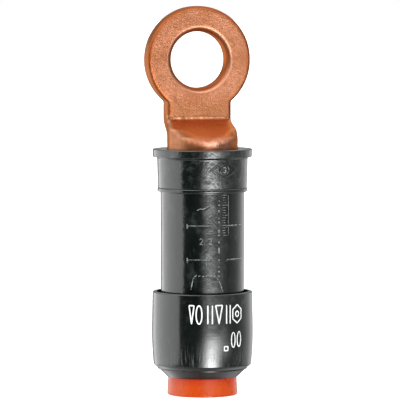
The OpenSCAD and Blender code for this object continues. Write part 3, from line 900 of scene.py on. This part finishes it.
plug_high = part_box("entry_plug")[1] / MM
plug_foot_r = plug_high.x
plug_top = plug_high.z
head_top = cap_z - 0.001
head_top_r = plug_foot_r - 0.2
spigot_r = 5.2
hollow_r = 3.9
floor_z = 1.4
plug_outline = (
    [(0, 0.25), (5.4, 0.25), (5.9, 0)]
    + fillet(plug_foot_r - 0.4, 0.4, 0.4, -90, 0)
    + [(head_top_r, head_top), (spigot_r, head_top), (spigot_r, plug_top - 0.15), (spigot_r - 0.15, plug_top)]
    + [(hollow_r + 0.15, plug_top), (hollow_r, plug_top - 0.15), (hollow_r, floor_z), (0, floor_z)])
orange = plug_plastic()
plug = turned_piece("orange_plug", plug_outline, orange, 160)
seams = [[(x, 0.5), (x, cap_z - 0.3)] for x in (0, math.pi * plug_foot_r)]
nicks = [[(11.6, 2.4), (12.1, 3.6)], [(12.5, 1.9), (12.6, 2.8)], [(5.2, 1.3), (5.9, 1.5)]]
seam = raised_lines("plug_seam", seams + nicks, orange, plug_foot_r - 0.14, -138.0, 0.22, 0.12)
for piece in (plug, seam):
    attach(piece, "root")
    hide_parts("entry_plug")


# ---- Floor, light and camera -------------------------------------------------
# A plain white table in a studio. Soft lamps stand at the left and behind, and the
# room's walls, table and right-hand lamp are drawn in the world for the reflections.

def white_table():
    made, tree, shader = new_material("white_table")
    shader.inputs["Base Color"].default_value = (0.78, 0.78, 0.78, 1)
    shader.inputs["Roughness"].default_value = 0.9
    seen = add_node(tree, "ShaderNodeLightPath").outputs["Is Camera Ray"]
    away = add_node(tree, "ShaderNodeVectorMath", {"operation": "LENGTH"},
                    {0: object_place(tree)}).outputs["Value"]
    bright = ramp(tree, away, 0.03, 0.30, 0.84, 1.0)
    glow = add_node(tree, "ShaderNodeEmission", None,
                    {"Color": (1, 1, 1, 1), "Strength": sum_of(tree, "MULTIPLY", seen, bright)})
    both = add_node(tree, "ShaderNodeAddShader", None, {0: shader.outputs[0], 1: glow.outputs[0]})
    tree.links.new(both.outputs[0], tree.nodes["Material Output"].inputs["Surface"])
    return made


table_reach = 6.0
table_mesh = bpy.data.meshes.new("floor")
table_mesh.from_pydata([(x * table_reach, y * table_reach, 0) for x, y in ((-1, -1), (1, -1), (1, 1), (-1, 1))],
                       [], [(0, 1, 2, 3)])
floor = mesh_object("table", table_mesh, white_table())
floor.visible_glossy = False
floor.visible_shadow = False


def softbox(name, azimuth, spread, low, high, radiance, tint=(1, 1, 1), distance=0.7):
    """A soft lamp round the lug's middle: its azimuth from straight in front to the
    right, its width and its lowest and highest edge as seen from the lug, in degrees."""
    centre = Vector((0, 0, 45 * MM))
    turn = math.radians(azimuth)
    rise = math.radians((low + high) / 2)
    away = Vector((math.sin(turn) * math.cos(rise), -math.cos(turn) * math.cos(rise), math.sin(rise)))
    data = bpy.data.lights.new(name, "AREA")
    data.shape = "RECTANGLE"
    data.size = 2 * distance * math.tan(math.radians(spread / 2))
    data.size_y = 2 * distance * math.tan(math.radians((high - low) / 2))
    data.energy = radiance * math.pi * data.size * data.size_y
    data.color = tint
    made = bpy.data.objects.new(name, data)
    bpy.context.scene.collection.objects.link(made)
    made.location = centre + distance * away
    made.rotation_euler = (-away).to_track_quat("-Z", "Y").to_euler()
    made.visible_camera = False
    return made


softbox("left_window", -107, 74, -20, 18, 1.45, (0.97, 1.0, 0.985))
softbox("left_rear", -156, 22, -20, 12, 1.6, (0.97, 1.0, 0.985))
softbox("upper_left", -72, 60, 18, 58, 1.3, (1.0, 0.98, 0.96))


def hump(value, middle, width):
    """A bell curve of a value."""
    off = sum_of(sky, "DIVIDE", sum_of(sky, "SUBTRACT", value, middle), width)
    return sum_of(sky, "POWER", math.exp(-0.5), sum_of(sky, "MULTIPLY", off, off))


def glow_at(height, tall, turn, wide, strength):
    """A soft patch of light at a height and a turn of the room."""
    return sum_of(sky, "MULTIPLY", hump(climb, height, tall),
                  sum_of(sky, "MULTIPLY", hump(round_room, turn, wide), strength))


def part_along(vector):
    """How far a direction points along a vector."""
    return add_node(sky, "ShaderNodeVectorMath", {"operation": "DOT_PRODUCT"},
                    {0: ahead, 1: vector}).outputs["Value"]


# The room round the lug: a turn counted from the camera's side towards the right, and
# a climb from -1 below to 1 overhead
world = bpy.data.worlds.new("studio")
bpy.context.scene.world = world
world.use_nodes = True
sky = world.node_tree
ray = add_node(sky, "ShaderNodeLightPath")
ahead = add_node(sky, "ShaderNodeTexCoord").outputs["Generated"]
room_turn = math.radians(16)
toward_front = part_along((-math.sin(room_turn), -math.cos(room_turn), 0))
toward_right = part_along((math.cos(room_turn), -math.sin(room_turn), 0))
round_room = sum_of(sky, "ARCTAN2", toward_right, toward_front)
climb = z_part(sky, ahead)

# Walls: dark in front to the left, pale in front to the right, bright behind on both sides
wall_levels = [(-180, 0.5), (-160, 0.5), (-135, 0.8), (-60, 0.125), (-42, 0.015), (-2, 0.015), (9, 0.36),
               (28, 0.40), (50, 0.45), (76, 0.17), (106, 0.42), (145, 1.4), (162, 0.9), (180, 0.5)]
walls = add_node(sky, "ShaderNodeValToRGB", None, {"Fac": ramp(sky, round_room, -math.pi, math.pi)})
wall_peak = 2.0
ramp_stops = walls.color_ramp.elements
while len(ramp_stops) < len(wall_levels):
    ramp_stops.new(0.5)
for stop, (degrees, level) in zip(ramp_stops, wall_levels):
    stop.position = (degrees + 180) / 360
    stop.color = (level / wall_peak, level / wall_peak, level / wall_peak, 1)
up_fade = ramp(sky, climb, 0.0, 0.30, 1.0, 0.15)
down_fade = ramp(sky, climb, -0.40, -0.15, 0.25, 1.0)
wall = sum_of(sky, "MULTIPLY", sum_of(sky, "MULTIPLY", up_fade, down_fade),
              sum_of(sky, "MULTIPLY", walls.outputs["Color"], wall_peak))

# Table and ceiling, with a glow on the table at the far left
table_edge = ramp(sky, climb, -0.55, -0.35, 1.0, 0.0)
table = sum_of(sky, "MULTIPLY", table_edge, ramp(sky, climb, -1.0, -0.75, 0.13, 0.45))
table = sum_of(sky, "ADD", table, glow_at(-0.50, 0.14, -2.2, 0.7, 1.4))
ceiling = ramp(sky, climb, 0.20, 0.60, 0.0, 1.2)

# A lamp at the front right, its image in the table below, and a narrow lit apron
image = sum_of(sky, "MULTIPLY", hump(climb, -0.33, 0.115), ramp(sky, climb, -0.12, -0.06, 17.0, 0.0))
lamps = sum_of(sky, "ADD", image, sum_of(sky, "MULTIPLY", hump(climb, 0.48, 0.11), 7.0))
lamps = sum_of(sky, "MULTIPLY", lamps, hump(round_room, 0.37, 0.18))
lamps = sum_of(sky, "ADD", lamps, glow_at(-0.165, 0.022, 0.62, 0.28, 4.5))
room = sum_of(sky, "ADD", sum_of(sky, "ADD", wall, lamps), sum_of(sky, "ADD", table, ceiling))
seen = sum_of(sky, "MAXIMUM", room, ray.outputs["Is Camera Ray"])
background = sky.nodes["Background"]
background.inputs["Color"].default_value = (1, 1, 1, 1)
sky.links.new(seen, background.inputs["Strength"])

camera_data = bpy.data.cameras.new("camera")
camera = bpy.data.objects.new("camera", camera_data)
bpy.context.scene.collection.objects.link(camera)
camera_distance = 0.90
camera_turn = math.radians(-16)
field = 96.04 * MM
camera.location = (camera_distance * math.sin(camera_turn), -camera_distance * math.cos(camera_turn), 0.103)
side = -0.58 * MM
aim_point = Vector((side * math.cos(camera_turn), side * math.sin(camera_turn), 46.8 * MM))
toward = aim_point - camera.location
camera.rotation_euler = toward.to_track_quat("-Z", "Y").to_euler()
camera_data.sensor_width = 36.0
camera_data.lens = 36.0 * toward.length / field
camera_data.clip_start = 0.01
camera_data.clip_end = 20.0
bpy.context.scene.camera = camera
bpy.context.scene.view_settings.view_transform = "Standard"
